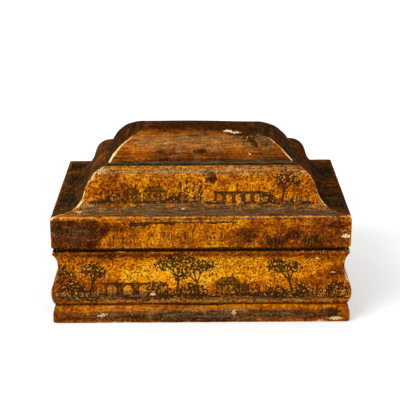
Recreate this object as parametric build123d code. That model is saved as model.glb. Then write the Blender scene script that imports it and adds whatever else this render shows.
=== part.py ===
from build123d import *
import os
from math import cos, radians, sin

# A moulded wooden box with a stepped, hinged lid. Millimetres and degrees.
# +Z is up, the front looks towards -Y, and the origin is under the middle of the base.
# Outlines are drawn as (inset, height): inset is measured inwards from the lid's upright
# face, so what swells out past the lid has an inset below zero, and height from the table.

# Lid seen from above
lid_length = 300.0
lid_depth = 214.0
wall_thickness = 14.0

# Plinth and bottom board
plinth_height = 19.4
plinth_swell = 0.6
plinth_swell_height = 8.5
plinth_foot_round = 2.6
plinth_width = 22.0
board_thickness = 8.0
board_under_wall = 4.0
board_fit = 0.3

# Base walls: crease, torus, cavetto, lip, and the raised step that carries the lid
wall_height = 60.0
crease_inset = 2.3
torus_swell = 1.6
torus_rise = 13.1
torus_radius = 23.0
cavetto_depth = 4.9
cavetto_drop = 13.0
lip_inset = 0.5
lip_height = 3.5
lip_round = 1.8
gap_height = 2.4
gap_depth = 4.0

# Lid rails
rail_height = 30.6
rail_edge_round = 3.0

# Wide mouldings of the lid: fillet, ledge, cove, riser and ovolo
fillet_height = 3.5
arris_round = 2.4
ledge_width = 18.5
ledge_rise = 0.6
cove_radius = 25.0
cove_start_angle = 25.0
riser_angle = 72.0
riser_length = 6.8
ovolo_radius = 25.0
ovolo_end_angle = 15.0
moulding_foot_width = 30.0
tongue_width = 7.0
tongue_thickness = 4.0

# Top panel and crown
panel_thickness = 8.0
panel_fit = 0.2
crown_margin = 3.5
crown_foot = 1.5
crown_rise = 30.4

# Butt hinges, their pins and screws
hinge_length = 38.0
hinge_from_end = 64.0
hinge_axis_inset = 2.4
leaf_width = 9.2
leaf_thickness = 1.4
leaf_fit = 0.2
barrel_radius = 2.1
barrel_room = 0.25
knuckle_count = 3
knuckle_gap = 0.2
pin_radius = 0.9
pin_clearance = 0.05
pin_proud = 0.4
screw_length = 9.0
screw_from_end = 8.0
screw_shank_radius = 1.2
screw_head_radius = 2.1
screw_head_sink = 0.15
screw_clearance = 0.06
screws_per_leaf = 2

# Square cut nails
nail_shank = 2.0
nail_head = 3.6
nail_head_thickness = 0.8
nail_taper = 1.0
board_nail_length = 15.0
board_nail_from_end = 46.0
board_nails_long_side = 4
board_nails_short_side = 3
crown_nail_length = 20.0
crown_nail_from_edge = 22.0
crown_nails_in_row = 3

# Heights and insets that follow from the sizes above
seat = plinth_height + wall_height
lip_top = seat - gap_height
gap_inset = lip_inset + gap_depth
rail_top = seat + rail_height
arris = rail_top + fillet_height
hinge_y = lid_depth / 2 - hinge_axis_inset

inward = {"front": (0, 1), "back": (0, -1), "left": (1, 0), "right": (-1, 0)}


def span(start, end, count):
    """Evenly spaced numbers from start to end."""
    return [start + (end - start) * i / (count - 1) for i in range(count)]


def mitred(outline, side):
    """A strip with this outline on one side of the box, mitred at both corners."""
    into = Vector(*inward[side])
    along = into.cross(Vector(0, 0, 1))
    reach = abs(into.X) * lid_length / 2 + abs(into.Y) * lid_depth / 2
    half_run = abs(along.X) * lid_length / 2 + abs(along.Y) * lid_depth / 2
    face = Plane(origin=into * -reach, x_dir=into, z_dir=along)
    strip = extrude(face * outline, amount=half_run + wall_thickness, both=True)
    for end in (along, along * -1):
        corner = end * half_run - into * reach
        strip = split(strip, Plane(origin=corner, z_dir=(end + into) * -1), keep=Keep.TOP)
    return strip


def plinth_outline():
    swell = (-plinth_swell, plinth_swell_height)
    foot = (-plinth_swell, plinth_foot_round)
    toe = (plinth_foot_round - plinth_swell, 0)
    crease = (crease_inset, plinth_height)
    rebate = wall_thickness - board_under_wall
    ledge = plinth_height - board_thickness
    edge = TangentArc(swell, crease, tangent=(0, 1)) + Line(swell, foot)
    edge += TangentArc(foot, toe, tangent=(0, -1))
    edge += Polyline(
        toe,
        (plinth_width, 0),
        (plinth_width, ledge),
        (rebate, ledge),
        (rebate, plinth_height),
        crease,
    )
    return make_face(edge)


def wall_outline():
    """Torus and cavetto run into each other, and both stand upright at their widest."""
    crease = (crease_inset, plinth_height)
    widest = (-torus_swell, plinth_height + torus_rise)
    deepest = (lip_inset + cavetto_depth, lip_top - lip_height - cavetto_drop)
    run = deepest[0] - widest[0]
    rise = deepest[1] - widest[1]
    both_radii = (run**2 + rise**2) / (2 * run)
    share = torus_radius / both_radii
    turn = (widest[0] + run * share, widest[1] + rise * share)
    lip_foot = (lip_inset, lip_top - lip_height)
    lip_shoulder = (lip_inset, lip_top - lip_round)
    lip_edge = (lip_inset + lip_round, lip_top)
    edge = TangentArc(widest, crease, tangent=(0, -1))
    edge += TangentArc(widest, turn, tangent=(0, 1))
    edge += TangentArc(deepest, turn, tangent=(0, -1))
    edge += TangentArc(deepest, lip_foot, tangent=(0, 1))
    edge += Line(lip_foot, lip_shoulder)
    edge += TangentArc(lip_shoulder, lip_edge, tangent=(0, 1))
    edge += Polyline(
        lip_edge,
        (gap_inset, lip_top),
        (gap_inset, seat),
        (wall_thickness, seat),
        (wall_thickness, plinth_height),
        crease,
    )
    return make_face(edge)


def rail_outline():
    shoulder = (0, seat + rail_edge_round)
    edge_start = (rail_edge_round, seat)
    edge = TangentArc(shoulder, edge_start, tangent=(0, -1))
    edge += Polyline(
        edge_start, (wall_thickness, seat), (wall_thickness, rail_top), (0, rail_top), shoulder
    )
    return make_face(edge)


def arc_step(start, radius, angle_from, angle_to):
    """End of an arc whose slope goes from one angle to another, bending up or down."""
    a = radians(angle_from)
    b = radians(angle_to)
    turn = 1 if angle_to > angle_from else -1
    return (
        start[0] + turn * radius * (sin(b) - sin(a)),
        start[1] + turn * radius * (cos(a) - cos(b)),
    )


def slope(angle):
    return (cos(radians(angle)), sin(radians(angle)))


ledge_end = (ledge_width, arris + ledge_rise)
cove_end = arc_step(ledge_end, cove_radius, cove_start_angle, riser_angle)
riser_end = (
    cove_end[0] + riser_length * slope(riser_angle)[0],
    cove_end[1] + riser_length * slope(riser_angle)[1],
)
ovolo_end = arc_step(riser_end, ovolo_radius, riser_angle, ovolo_end_angle)
panel_top = ovolo_end[1]
panel_under = panel_top - panel_thickness
crown_inset = ovolo_end[0] + crown_margin
crown_half_length = lid_length / 2 - crown_inset
crown_half_depth = lid_depth / 2 - crown_inset


def ogee_outline():
    shoulder = (0, arris - arris_round)
    arris_edge = (arris_round, arris)
    edge = TangentArc(shoulder, arris_edge, tangent=(0, 1)) + Line(arris_edge, ledge_end)
    edge += TangentArc(ledge_end, cove_end, tangent=slope(cove_start_angle))
    edge += Line(cove_end, riser_end)
    edge += TangentArc(riser_end, ovolo_end, tangent=slope(riser_angle))
    tongue_inset = ovolo_end[0] + tongue_width
    edge += Polyline(
        ovolo_end,
        (ovolo_end[0], panel_under),
        (tongue_inset, panel_under),
        (tongue_inset, panel_under - tongue_thickness),
        (moulding_foot_width, rail_top),
        (0, rail_top),
        shoulder,
    )
    return make_face(edge)


def board(inset, bottom, thickness):
    """A flat board whose edges lie this far inside the lid's upright faces."""
    length = lid_length - 2 * inset
    depth = lid_depth - 2 * inset
    return Pos(0, 0, bottom + thickness / 2) * Box(length, depth, thickness)


def crown_section(half_width):
    """Upright foot, then a swell that is level after half the crown's depth. It stands at 0."""
    level = half_width - crown_half_depth
    crest = crown_foot + crown_rise
    edge = Polyline(
        (-half_width, crown_foot), (-half_width, 0), (half_width, 0), (half_width, crown_foot)
    )
    for way in (-1, 1):
        edge += TangentArc((way * level, crest), (way * half_width, crown_foot), tangent=(way, 0))
    if level > 0:
        edge += Line((-level, crest), (level, crest))
    return make_face(edge)


def crown_block():
    """Where a long and a cross swell meet, their hips run at 45 degrees."""
    along = extrude(Plane.YZ * crown_section(crown_half_depth), crown_half_length, both=True)
    across = extrude(Plane.XZ * crown_section(crown_half_length), crown_half_depth, both=True)
    return Pos(0, 0, panel_top) * (along & across)


def nail(length):
    """A square cut nail pointing down, its head's top at the origin."""
    head = Pos(0, 0, -nail_head_thickness / 2) * Box(nail_head, nail_head, nail_head_thickness)
    shank = extrude(Rectangle(nail_shank, nail_shank), -length, taper=nail_taper)
    return head + shank


def board_nails():
    """A row in each plinth strip, between the wall's inner face and the strip's own."""
    inset = (wall_thickness + plinth_width) / 2
    x_end = lid_length / 2 - board_nail_from_end
    y_end = lid_depth / 2 - board_nail_from_end
    places = []
    for way in (-1, 1):
        y = way * (lid_depth / 2 - inset)
        x = way * (lid_length / 2 - inset)
        places += [(along, y) for along in span(-x_end, x_end, board_nails_long_side)]
        places += [(x, along) for along in span(-y_end, y_end, board_nails_short_side)]
    return [Pos(x, y, plinth_height) * nail(board_nail_length) for x, y in places]


def crown_nails():
    """Two rows driven up through the panel, their heads flush with its underside."""
    x_end = crown_half_length - crown_nail_from_edge
    y_end = crown_half_depth - crown_nail_from_edge
    upward = Rot(180, 0, 0) * nail(crown_nail_length)
    return [
        Pos(x, y, panel_under) * upward
        for y in (-y_end, y_end)
        for x in span(-x_end, x_end, crown_nails_in_row)
    ]


def screw():
    """A countersunk wood screw pointing down, its head just below the leaf's face."""
    neck = screw_head_radius - screw_shank_radius
    head = Pos(0, 0, -neck / 2) * Cone(screw_shank_radius, screw_head_radius, neck)
    shank = Pos(0, 0, -screw_length / 2) * Cylinder(screw_shank_radius, screw_length)
    return Pos(0, 0, -screw_head_sink) * (head + shank)


def screw_bore():
    """The hole that a screw's shank takes in the leaf and in the wood below it."""
    length = screw_head_sink + screw_length
    return Pos(0, 0, -length / 2) * Cylinder(screw_shank_radius + screw_clearance, length)


def countersink():
    """The seat of a screw's head, open at the leaf's face."""
    top = screw_head_radius + screw_head_sink + screw_clearance
    bottom = screw_shank_radius + screw_clearance
    depth = top - bottom
    return Pos(0, 0, -depth / 2) * Cone(bottom, top, depth)


def screw_places():
    plate_edge = barrel_radius + barrel_room
    y = -(leaf_width + plate_edge) / 2
    end = hinge_length / 2 - screw_from_end
    return [Pos(x, y, 0) for x in span(-end, end, screws_per_leaf)]


def rod(radius, length):
    """A round bar along the hinge's axis."""
    return Rot(0, 90, 0) * Cylinder(radius, length)


def leaf(first_knuckle):
    """The lower leaf of a hinge about the origin, with every other knuckle."""
    plate_edge = barrel_radius + barrel_room
    plate_width = leaf_width - plate_edge
    made = Pos(0, -plate_edge - plate_width / 2, -leaf_thickness / 2) * Box(
        hinge_length, plate_width, leaf_thickness
    )
    pitch = hinge_length / knuckle_count
    for i in range(first_knuckle, knuckle_count, 2):
        x = pitch * (i + 0.5) - hinge_length / 2
        root = Pos(x, -leaf_width / 2, -leaf_thickness / 2) * Box(
            pitch - knuckle_gap, leaf_width, leaf_thickness
        )
        made += root + Pos(x, 0, 0) * rod(barrel_radius, pitch - knuckle_gap)
    made -= rod(pin_radius + pin_clearance, 2 * hinge_length)
    for place in screw_places():
        made -= place * (screw_bore() + countersink())
    return made


def leaf_pocket():
    """What is cut from the wall below a hinge: the leaf's bed, the barrel and the screws."""
    bed_length = hinge_length + 2 * leaf_fit
    bed_width = leaf_width + leaf_fit
    cut = Pos(0, -bed_width / 2, -leaf_thickness / 2) * Box(bed_length, bed_width, leaf_thickness)
    cut += rod(barrel_radius + barrel_room, hinge_length + 2 * (pin_proud + leaf_fit))
    for place in screw_places():
        cut += place * screw_bore()
    return cut


def upside_down(shape):
    return mirror(shape, Plane.XY)


parts = {}
for side in inward:
    parts["plinth_" + side] = mitred(plinth_outline(), side)
    parts["base_" + side] = mitred(wall_outline(), side)
    parts["lid_" + side] = mitred(rail_outline(), side)
    parts["ogee_" + side] = mitred(ogee_outline(), side)

board_inset = wall_thickness - board_under_wall + board_fit
parts["bottom_board"] = board(board_inset, plinth_height - board_thickness, board_thickness)
parts["top_panel"] = board(ovolo_end[0] + panel_fit, panel_under, panel_thickness)
parts["crown"] = crown_block()

nails = board_nails()
for name in ["bottom_board"] + ["plinth_" + side for side in inward]:
    parts[name] -= nails
parts["bottom_board_nails"] = Compound(nails)

nails = crown_nails()
for name in ("top_panel", "crown"):
    parts[name] -= nails
parts["crown_nails"] = Compound(nails)

hinge_x = lid_length / 2 - hinge_from_end
for name, way in (("hinge_left", -1), ("hinge_right", 1)):
    place = Pos(way * hinge_x, hinge_y, seat)
    screws = [spot * screw() for spot in screw_places()]
    parts["base_back"] -= place * leaf_pocket()
    parts["lid_back"] -= place * upside_down(leaf_pocket())
    parts[name + "_base_leaf"] = place * leaf(0)
    parts[name + "_lid_leaf"] = place * upside_down(leaf(1))
    parts[name + "_pin"] = place * rod(pin_radius, hinge_length + 2 * pin_proud)
    parts[name + "_base_screws"] = Compound([place * each for each in screws])
    parts[name + "_lid_screws"] = Compound([place * upside_down(each) for each in screws])

os.makedirs("parts", exist_ok=True)
for name, shape in parts.items():
    export_step(shape, "parts/" + name + ".step")
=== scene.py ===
import math
from collections import namedtuple

import bmesh
import bpy
import numpy as np
from mathutils import Matrix, Vector


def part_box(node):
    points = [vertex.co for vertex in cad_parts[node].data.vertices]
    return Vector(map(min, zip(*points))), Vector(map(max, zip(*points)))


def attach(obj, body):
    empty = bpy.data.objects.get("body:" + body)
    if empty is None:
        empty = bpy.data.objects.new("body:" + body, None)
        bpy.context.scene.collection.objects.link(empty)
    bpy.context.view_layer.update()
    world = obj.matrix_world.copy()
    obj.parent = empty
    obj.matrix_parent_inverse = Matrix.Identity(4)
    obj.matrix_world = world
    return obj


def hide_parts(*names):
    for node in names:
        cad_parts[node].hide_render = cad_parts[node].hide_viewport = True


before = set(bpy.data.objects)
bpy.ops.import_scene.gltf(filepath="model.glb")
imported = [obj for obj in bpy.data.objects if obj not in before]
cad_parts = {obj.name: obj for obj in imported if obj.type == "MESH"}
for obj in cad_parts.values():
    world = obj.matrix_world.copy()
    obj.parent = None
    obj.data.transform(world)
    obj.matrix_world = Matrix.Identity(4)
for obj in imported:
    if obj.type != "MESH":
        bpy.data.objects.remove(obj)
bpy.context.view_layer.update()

# Lengths are in metres, and outlines are (inset, height): inset is measured inwards from
# the lid's upright faces, height from the table.
MM = 0.001

HALF_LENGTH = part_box("lid_front")[1].x
HALF_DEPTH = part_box("lid_left")[1].y
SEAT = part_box("lid_front")[0].z
RAIL_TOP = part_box("lid_front")[1].z
PLINTH_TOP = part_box("base_front")[0].z
PANEL_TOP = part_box("top_panel")[1].z
PANEL_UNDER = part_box("top_panel")[0].z
WALL_THICKNESS = HALF_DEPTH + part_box("lid_front")[1].y
PLINTH_WIDTH = HALF_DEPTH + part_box("plinth_front")[1].y
PLINTH_SWELL = -HALF_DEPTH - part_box("plinth_front")[0].y
TORUS_SWELL = -HALF_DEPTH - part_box("base_front")[0].y
TONGUE_INSET = HALF_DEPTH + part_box("ogee_front")[1].y
BOARD_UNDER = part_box("bottom_board")[0].z
CROWN_HALF_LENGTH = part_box("crown")[1].x
CROWN_HALF_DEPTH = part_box("crown")[1].y
CROWN_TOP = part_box("crown")[1].z

CREASE_INSET = 2.3 * MM
TORUS_RISE = 13.1 * MM
TORUS_RADIUS = 23 * MM
CAVETTO_DEPTH = 4.9 * MM
CAVETTO_DROP = 13 * MM
LIP_INSET = 0.5 * MM
LIP_HEIGHT = 3.5 * MM
LIP_ROUND = 1.8 * MM
GAP_HEIGHT = 2.4 * MM
GAP_DEPTH = 4 * MM
RAIL_EDGE_ROUND = 3 * MM
FILLET_HEIGHT = 3.5 * MM
ARRIS_ROUND = 2.4 * MM
LEDGE_WIDTH = 18.5 * MM
LEDGE_RISE = 0.6 * MM
COVE_RADIUS = 25 * MM
COVE_START = math.radians(25)
RISER_ANGLE = math.radians(72)
RISER_LENGTH = 6.8 * MM
OVOLO_RADIUS = 25 * MM
OVOLO_END = math.radians(15)
MOULDING_FOOT = 30 * MM
TONGUE_THICKNESS = 4 * MM
PLINTH_SWELL_HEIGHT = 8.5 * MM
PLINTH_FOOT_ROUND = 2.6 * MM
BOARD_UNDER_WALL = 4 * MM
CROWN_FOOT = 1.5 * MM
JOINT_BEVEL = 0.35 * MM
HINGE_AXIS_INSET = 2.4 * MM
HINGE_BED_INSET = 11.8 * MM
HINGE_BED_HALF = 19.2 * MM
HINGE_CENTRES = (-86 * MM, 86 * MM)
BED_EDGE = 0.1 * MM
LEAF_THICKNESS = 1.4 * MM
BARREL_ROOM = 2.35 * MM
BED_SNAP_DEPTH = 12 * MM

# How fine the meshes are, and the tolerances of mesh work
FINE_STEP = 0.6 * MM
PLAIN_STEP = 1 * MM
BED_STEP = 1 * MM
HIDDEN_STEP = 4 * MM
SHARP_ANGLE = math.radians(38)
WELD_DISTANCE = 2e-6
HAIR = 1e-6

ARRIS = RAIL_TOP + FILLET_HEIGHT
LIP_TOP = SEAT - GAP_HEIGHT
SIDES = {"front": 0, "right": 90, "back": 180, "left": -90}


def rgb(red, green, blue):
    """Linear colour from 0 to 255 display values."""

    def linear(c):
        c /= 255
        return c / 12.92 if c <= 0.04045 else ((c + 0.055) / 1.055) ** 2.4

    return (linear(red), linear(green), linear(blue), 1)


# Node graphs as expressions
class Graph:
    """Adds nodes to a tree and hands back their sockets as terms of an expression."""

    def __init__(self, tree):
        self.tree = tree

    def node(self, kind, settings=None, inputs=None, output=0):
        """A new node: its settings first, then the values or links of its sockets."""
        made = self.tree.nodes.new(kind)
        for key, value in (settings or {}).items():
            if key == "stops":
                self.set_stops(made.color_ramp, value)
            else:
                setattr(made, key, value)
        self.feed(made, inputs or {})
        return Term(self, made.outputs[output]) if made.outputs else None

    def set_stops(self, ramp, stops):
        while len(ramp.elements) < len(stops):
            ramp.elements.new(0.5)
        for element, (place, colour) in zip(ramp.elements, stops):
            element.position = place
            element.color = colour

    def feed(self, node, inputs):
        for key, value in inputs.items():
            if isinstance(value, Term):
                self.tree.links.new(value.socket, node.inputs[key])
            else:
                node.inputs[key].default_value = value

    def attribute(self, name):
        return self.node("ShaderNodeAttribute", {"attribute_name": name}, output="Fac")

    def place(self):
        return self.node("ShaderNodeTexCoord", output="Object")

    def combine(self, x, y, z):
        return self.node("ShaderNodeCombineXYZ", None, {0: x, 1: y, 2: z})

    def noise(self, vector, scale, detail, roughness, distortion=0):
        inputs = {"Vector": vector, "Scale": scale, "Detail": detail}
        inputs |= {"Roughness": roughness, "Distortion": distortion}
        return self.node("ShaderNodeTexNoise", None, inputs)

    def mix(self, share, low, high, blend="MIX"):
        settings = {"data_type": "RGBA", "blend_type": blend}
        return self.node("ShaderNodeMix", settings, {0: share, 6: low, 7: high}, 2)

    def ramp(self, share, *stops):
        return self.node("ShaderNodeValToRGB", {"stops": stops}, {0: share})


class Term:
    """A socket that can be added, multiplied and compared like a number."""

    def __init__(self, graph, socket):
        self.graph = graph
        self.socket = socket

    def math(self, operation, *values, clamp=False):
        settings = {"operation": operation, "use_clamp": clamp}
        return self.graph.node("ShaderNodeMath", settings, dict(enumerate(values)))

    def __add__(self, other):
        return self.math("ADD", self, other)

    def __sub__(self, other):
        return self.math("SUBTRACT", self, other)

    def __rsub__(self, other):
        return self.math("SUBTRACT", other, self)

    def __mul__(self, other):
        return self.math("MULTIPLY", self, other)

    __radd__ = __add__
    __rmul__ = __mul__

    def clamp(self):
        return self.math("ADD", self, 0, clamp=True)

    def most(self, other):
        return self.math("MAXIMUM", self, other)

    def step(self, low, high):
        """0 below low, 1 above high and smooth between."""
        settings = {"interpolation_type": "SMOOTHSTEP"}
        inputs = {"Value": self, "From Min": low, "From Max": high}
        return self.graph.node("ShaderNodeMapRange", settings, inputs)

    def part(self, name):
        return self.graph.node("ShaderNodeSeparateXYZ", None, {0: self}, name)


# Outlines
def arc(start, end, tangent, step):
    """Points of the arc from start to end that leaves start along tangent."""
    start, end, tangent = (np.array(v, float) for v in (start, end, tangent))
    tangent /= np.hypot(*tangent)
    chord = end - start
    normal = np.array([-tangent[1], tangent[0]])
    radius = (chord @ chord) / (2 * (chord @ normal))
    centre = start + normal * radius
    arm = start - centre
    turn = 2 * math.asin(max(-1, min(1, np.hypot(*chord) / (2 * abs(radius)))))
    turn *= math.copysign(1, radius)
    count = max(2, round(abs(turn * radius) / step))
    angles = np.linspace(0, turn, count + 1)
    c, s = np.cos(angles), np.sin(angles)
    return centre + np.stack([arm[0] * c - arm[1] * s, arm[0] * s + arm[1] * c], 1)


class Outline:
    """An outline walked up the outside, with the lacquered stretches marked."""

    def __init__(self, start, step):
        self.points = [np.array(start, float)]
        self.shown = [1.0]
        self.step = step

    def add(self, points, shown):
        self.points += [np.array(p) for p in points]
        self.shown += [shown] * len(points)
        return self

    def line(self, end, shown=1.0, step=None):
        start = self.points[-1]
        way = np.array(end) - start
        count = max(1, round(np.hypot(*way) / (step or self.step)))
        return self.add([start + way * i / count for i in range(1, count + 1)], shown)

    def leave(self, end, tangent):
        """An arc to end that leaves the last point along tangent."""
        return self.add(arc(self.points[-1], end, tangent, self.step)[1:], 1.0)

    def meet(self, end, tangent):
        """An arc to end that arrives along tangent."""
        back = (-tangent[0], -tangent[1])
        return self.add(arc(end, self.points[-1], back, self.step)[::-1][1:], 1.0)

    def hidden(self, *points, step=HIDDEN_STEP):
        """Straight lines through the points, out of sight and bare of lacquer."""
        for p in points:
            self.line(p, 0.0, step)
        return self


def plinth_outline(step):
    crease = (CREASE_INSET, PLINTH_TOP)
    rebate = WALL_THICKNESS - BOARD_UNDER_WALL
    toe = (PLINTH_FOOT_ROUND - PLINTH_SWELL, 0)
    made = Outline(toe, step)
    made.meet((-PLINTH_SWELL, PLINTH_FOOT_ROUND), (0, 1))
    made.line((-PLINTH_SWELL, PLINTH_SWELL_HEIGHT))
    made.leave(crease, (0, 1))
    made.hidden((rebate, PLINTH_TOP), (rebate, BOARD_UNDER))
    return made.hidden((PLINTH_WIDTH, BOARD_UNDER), (PLINTH_WIDTH, 0), toe)


def wall_outline(step):
    crease = (CREASE_INSET, PLINTH_TOP)
    widest = np.array([-TORUS_SWELL, PLINTH_TOP + TORUS_RISE])
    deepest = np.array([LIP_INSET + CAVETTO_DEPTH, LIP_TOP - LIP_HEIGHT - CAVETTO_DROP])
    across = deepest - widest
    share = TORUS_RADIUS * 2 * across[0] / (across @ across)
    made = Outline(crease, step)
    made.meet(widest, (0, 1)).leave(widest + share * across, (0, 1)).meet(deepest, (0, 1))
    made.leave((LIP_INSET, LIP_TOP - LIP_HEIGHT), (0, 1))
    made.line((LIP_INSET, LIP_TOP - LIP_ROUND)).leave((LIP_INSET + LIP_ROUND, LIP_TOP), (0, 1))
    gap = LIP_INSET + GAP_DEPTH
    made.line((gap, LIP_TOP)).line((gap, SEAT))
    made.hidden((HINGE_BED_INSET, SEAT), (HINGE_BED_INSET + BED_EDGE, SEAT), step=BED_STEP)
    return made.hidden((WALL_THICKNESS, SEAT), (WALL_THICKNESS, PLINTH_TOP), crease)


def rail_outline(step):
    start = (RAIL_EDGE_ROUND, SEAT)
    made = Outline(start, step)
    made.meet((0, SEAT + RAIL_EDGE_ROUND), (0, 1)).line((0, RAIL_TOP - JOINT_BEVEL))
    made.line((JOINT_BEVEL, RAIL_TOP))
    made.hidden((WALL_THICKNESS, RAIL_TOP), (WALL_THICKNESS, SEAT))
    made.hidden((HINGE_BED_INSET + BED_EDGE, SEAT))
    return made.hidden((HINGE_BED_INSET, SEAT), start, step=BED_STEP)


def slope(angle):
    return np.array([math.cos(angle), math.sin(angle)])


def bend(radius, low, high):
    """The step that an arc makes while its slope turns between two angles."""
    return radius * np.array([math.sin(high) - math.sin(low), math.cos(low) - math.cos(high)])


LEDGE_END = np.array([LEDGE_WIDTH, ARRIS + LEDGE_RISE])
COVE_END = LEDGE_END + bend(COVE_RADIUS, COVE_START, RISER_ANGLE)
RISER_END = COVE_END + RISER_LENGTH * slope(RISER_ANGLE)
OVOLO_TOP = RISER_END - bend(OVOLO_RADIUS, RISER_ANGLE, OVOLO_END)


def ogee_outline(step):
    start = (JOINT_BEVEL, RAIL_TOP)
    made = Outline(start, step)
    made.line((0, RAIL_TOP + JOINT_BEVEL)).line((0, ARRIS - ARRIS_ROUND))
    made.leave((ARRIS_ROUND, ARRIS), (0, 1)).line(LEDGE_END)
    made.leave(COVE_END, slope(COVE_START)).line(RISER_END).leave(OVOLO_TOP, slope(RISER_ANGLE))
    return made.hidden(
        (OVOLO_TOP[0], PANEL_UNDER),
        (TONGUE_INSET, PANEL_UNDER),
        (TONGUE_INSET, PANEL_UNDER - TONGUE_THICKNESS),
        (MOULDING_FOOT, RAIL_TOP),
        start,
    )


def crown_outline(step):
    """One side of the crown, from its foot to the ridge; its inset starts at the crown."""
    made = Outline((0, PANEL_TOP), step)
    made.line((0, PANEL_TOP + CROWN_FOOT))
    return made.meet((CROWN_HALF_DEPTH, CROWN_TOP), (1, 0))


# The moulding sweep, as geometry nodes, and the objects it makes
SWEEP_INPUTS = {
    "Outline": "Object",
    "Outline Points": "Int",
    "Stations": "Int",
    "Half Run": "Float",
    "Reach": "Float",
    "Turn": "Float",
    "Finish": "Material",
}


def sweep_tree():
    """An outline carried along one side of the box, its ends mitred at 45 degrees.

    Each vertex keeps its station, from -1 to 1 along the side, and its row, the number of
    its outline point."""
    tree = bpy.data.node_groups.new("mitred sweep", "GeometryNodeTree")
    for name, kind in SWEEP_INPUTS.items():
        tree.interface.new_socket(name, in_out="INPUT", socket_type="NodeSocket" + kind)
    tree.interface.new_socket("Geometry", in_out="OUTPUT", socket_type="NodeSocketGeometry")
    graph = Graph(tree)
    given = {name: graph.node("NodeGroupInput", output=name) for name in SWEEP_INPUTS}
    counts = {"Vertices X": given["Stations"], "Vertices Y": given["Outline Points"]}
    grid = graph.node("GeometryNodeMeshGrid", None, {"Size X": 1, "Size Y": 1, **counts})
    place = graph.node("GeometryNodeInputPosition")
    share = (place.part("Y") + 0.5) * (given["Outline Points"] - 1)
    row = graph.node("ShaderNodeMath", {"operation": "ROUND"}, {0: share})
    for name, value in (("station", place.part("X") * 2), ("row", row)):
        settings = {"data_type": "FLOAT", "domain": "POINT"}
        inputs = {"Geometry": grid, "Name": name, "Value": value}
        grid = graph.node("GeometryNodeStoreNamedAttribute", settings, inputs)
    station, row = (
        graph.node("GeometryNodeInputNamedAttribute", {"data_type": "FLOAT"}, {"Name": name})
        for name in ("station", "row")
    )
    shape = graph.node("GeometryNodeObjectInfo", None, {"Object": given["Outline"]}, "Geometry")
    at = graph.node(
        "GeometryNodeSampleIndex",
        {"data_type": "FLOAT_VECTOR", "domain": "POINT"},
        {"Geometry": shape, "Value": graph.node("GeometryNodeInputPosition"), "Index": row},
    )
    inset = at.part("X")
    along = station * (given["Half Run"] - inset)
    straight = graph.combine(along, inset - given["Reach"], at.part("Y"))
    settings = {"rotation_type": "Z_AXIS"}
    inputs = {"Vector": straight, "Angle": given["Turn"]}
    turned = graph.node("ShaderNodeVectorRotate", settings, inputs)
    grid = graph.node("GeometryNodeSetPosition", None, {"Geometry": grid, "Position": turned})
    grid = graph.node("GeometryNodeRealizeInstances", None, {"Geometry": grid})
    inputs = {"Geometry": grid, "Material": given["Finish"]}
    grid = graph.node("GeometryNodeSetMaterial", None, inputs)
    graph.node("NodeGroupOutput", None, {"Geometry": grid})
    return tree


def put_in_scene(name, data):
    """A new object in the scene."""
    made = bpy.data.objects.new(name, data)
    bpy.context.scene.collection.objects.link(made)
    return made


def run_tree(name, tree, values):
    """A plain mesh object made by a geometry tree from its named inputs."""
    holder = put_in_scene(name, bpy.data.meshes.new(name))
    made = holder.modifiers.new(tree.name, "NODES")
    made.node_group = tree
    for item in tree.interface.items_tree:
        if item.in_out == "INPUT" and item.name in values:
            made[item.identifier] = values[item.name]
    graph = bpy.context.evaluated_depsgraph_get()
    mesh = bpy.data.meshes.new_from_object(holder.evaluated_get(graph), depsgraph=graph)
    holder.modifiers.remove(made)
    holder.data = mesh
    return holder


# Values on a mesh
def column(mesh, name):
    """One kept value of every vertex."""
    values = np.zeros(len(mesh.vertices), np.float32)
    mesh.attributes[name].data.foreach_get("value", values)
    return values.astype(float)


def places(mesh):
    """The place of every vertex, one in each row."""
    values = np.zeros(3 * len(mesh.vertices), np.float32)
    mesh.vertices.foreach_get("co", values)
    return values.reshape(-1, 3).astype(float)


def move_to(mesh, place):
    mesh.vertices.foreach_set("co", place.astype(np.float32).ravel())


def put_column(mesh, name, values):
    """Keeps one value on every vertex."""
    layer = mesh.attributes.get(name) or mesh.attributes.new(name, "FLOAT", "POINT")
    layer.data.foreach_set("value", np.asarray(values, np.float32))


def close_up(mesh):
    """Merges the seam, fills the ends and shades the faces smooth between sharp edges."""
    work = bmesh.new()
    work.from_mesh(mesh)
    bmesh.ops.remove_doubles(work, verts=work.verts, dist=WELD_DISTANCE)
    bmesh.ops.holes_fill(work, edges=[e for e in work.edges if e.is_boundary], sides=0)
    bmesh.ops.recalc_face_normals(work, faces=work.faces)
    work.to_mesh(mesh)
    work.free()
    mesh.shade_smooth()
    mesh.set_sharp_from_angle(angle=SHARP_ANGLE)


LATTICE_SIZE = 97
LATTICE_START = (31.7, 17.3)


def drift(u, v, size, seed):
    """Smooth noise from 0 to 1 with features of this size."""
    lattice = np.random.default_rng(seed).random((LATTICE_SIZE, LATTICE_SIZE))
    x, y = u / size + LATTICE_START[0], v / size + LATTICE_START[1]
    i, j = np.floor(x).astype(int), np.floor(y).astype(int)
    fx, fy = x - i, y - j
    fx, fy = fx * fx * (3 - 2 * fx), fy * fy * (3 - 2 * fy)

    def knot(right, up):
        return lattice[(i + right) % LATTICE_SIZE, (j + up) % LATTICE_SIZE]

    low = knot(0, 0) * (1 - fx) + knot(1, 0) * fx
    high = knot(0, 1) * (1 - fx) + knot(1, 1) * fx
    return low * (1 - fy) + high * fy


def near(points, marks, width):
    """How near the points lie to the nearest mark, from 1 on it to 0."""
    away = np.min([np.hypot(points[:, 0] - m[0], points[:, 1] - m[1]) for m in marks], 0)
    return bump(away, width)


def bump(value, width):
    """1 where the value is 0, and falling to 0 on both sides."""
    return np.exp(-((value / width) ** 2))


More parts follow.
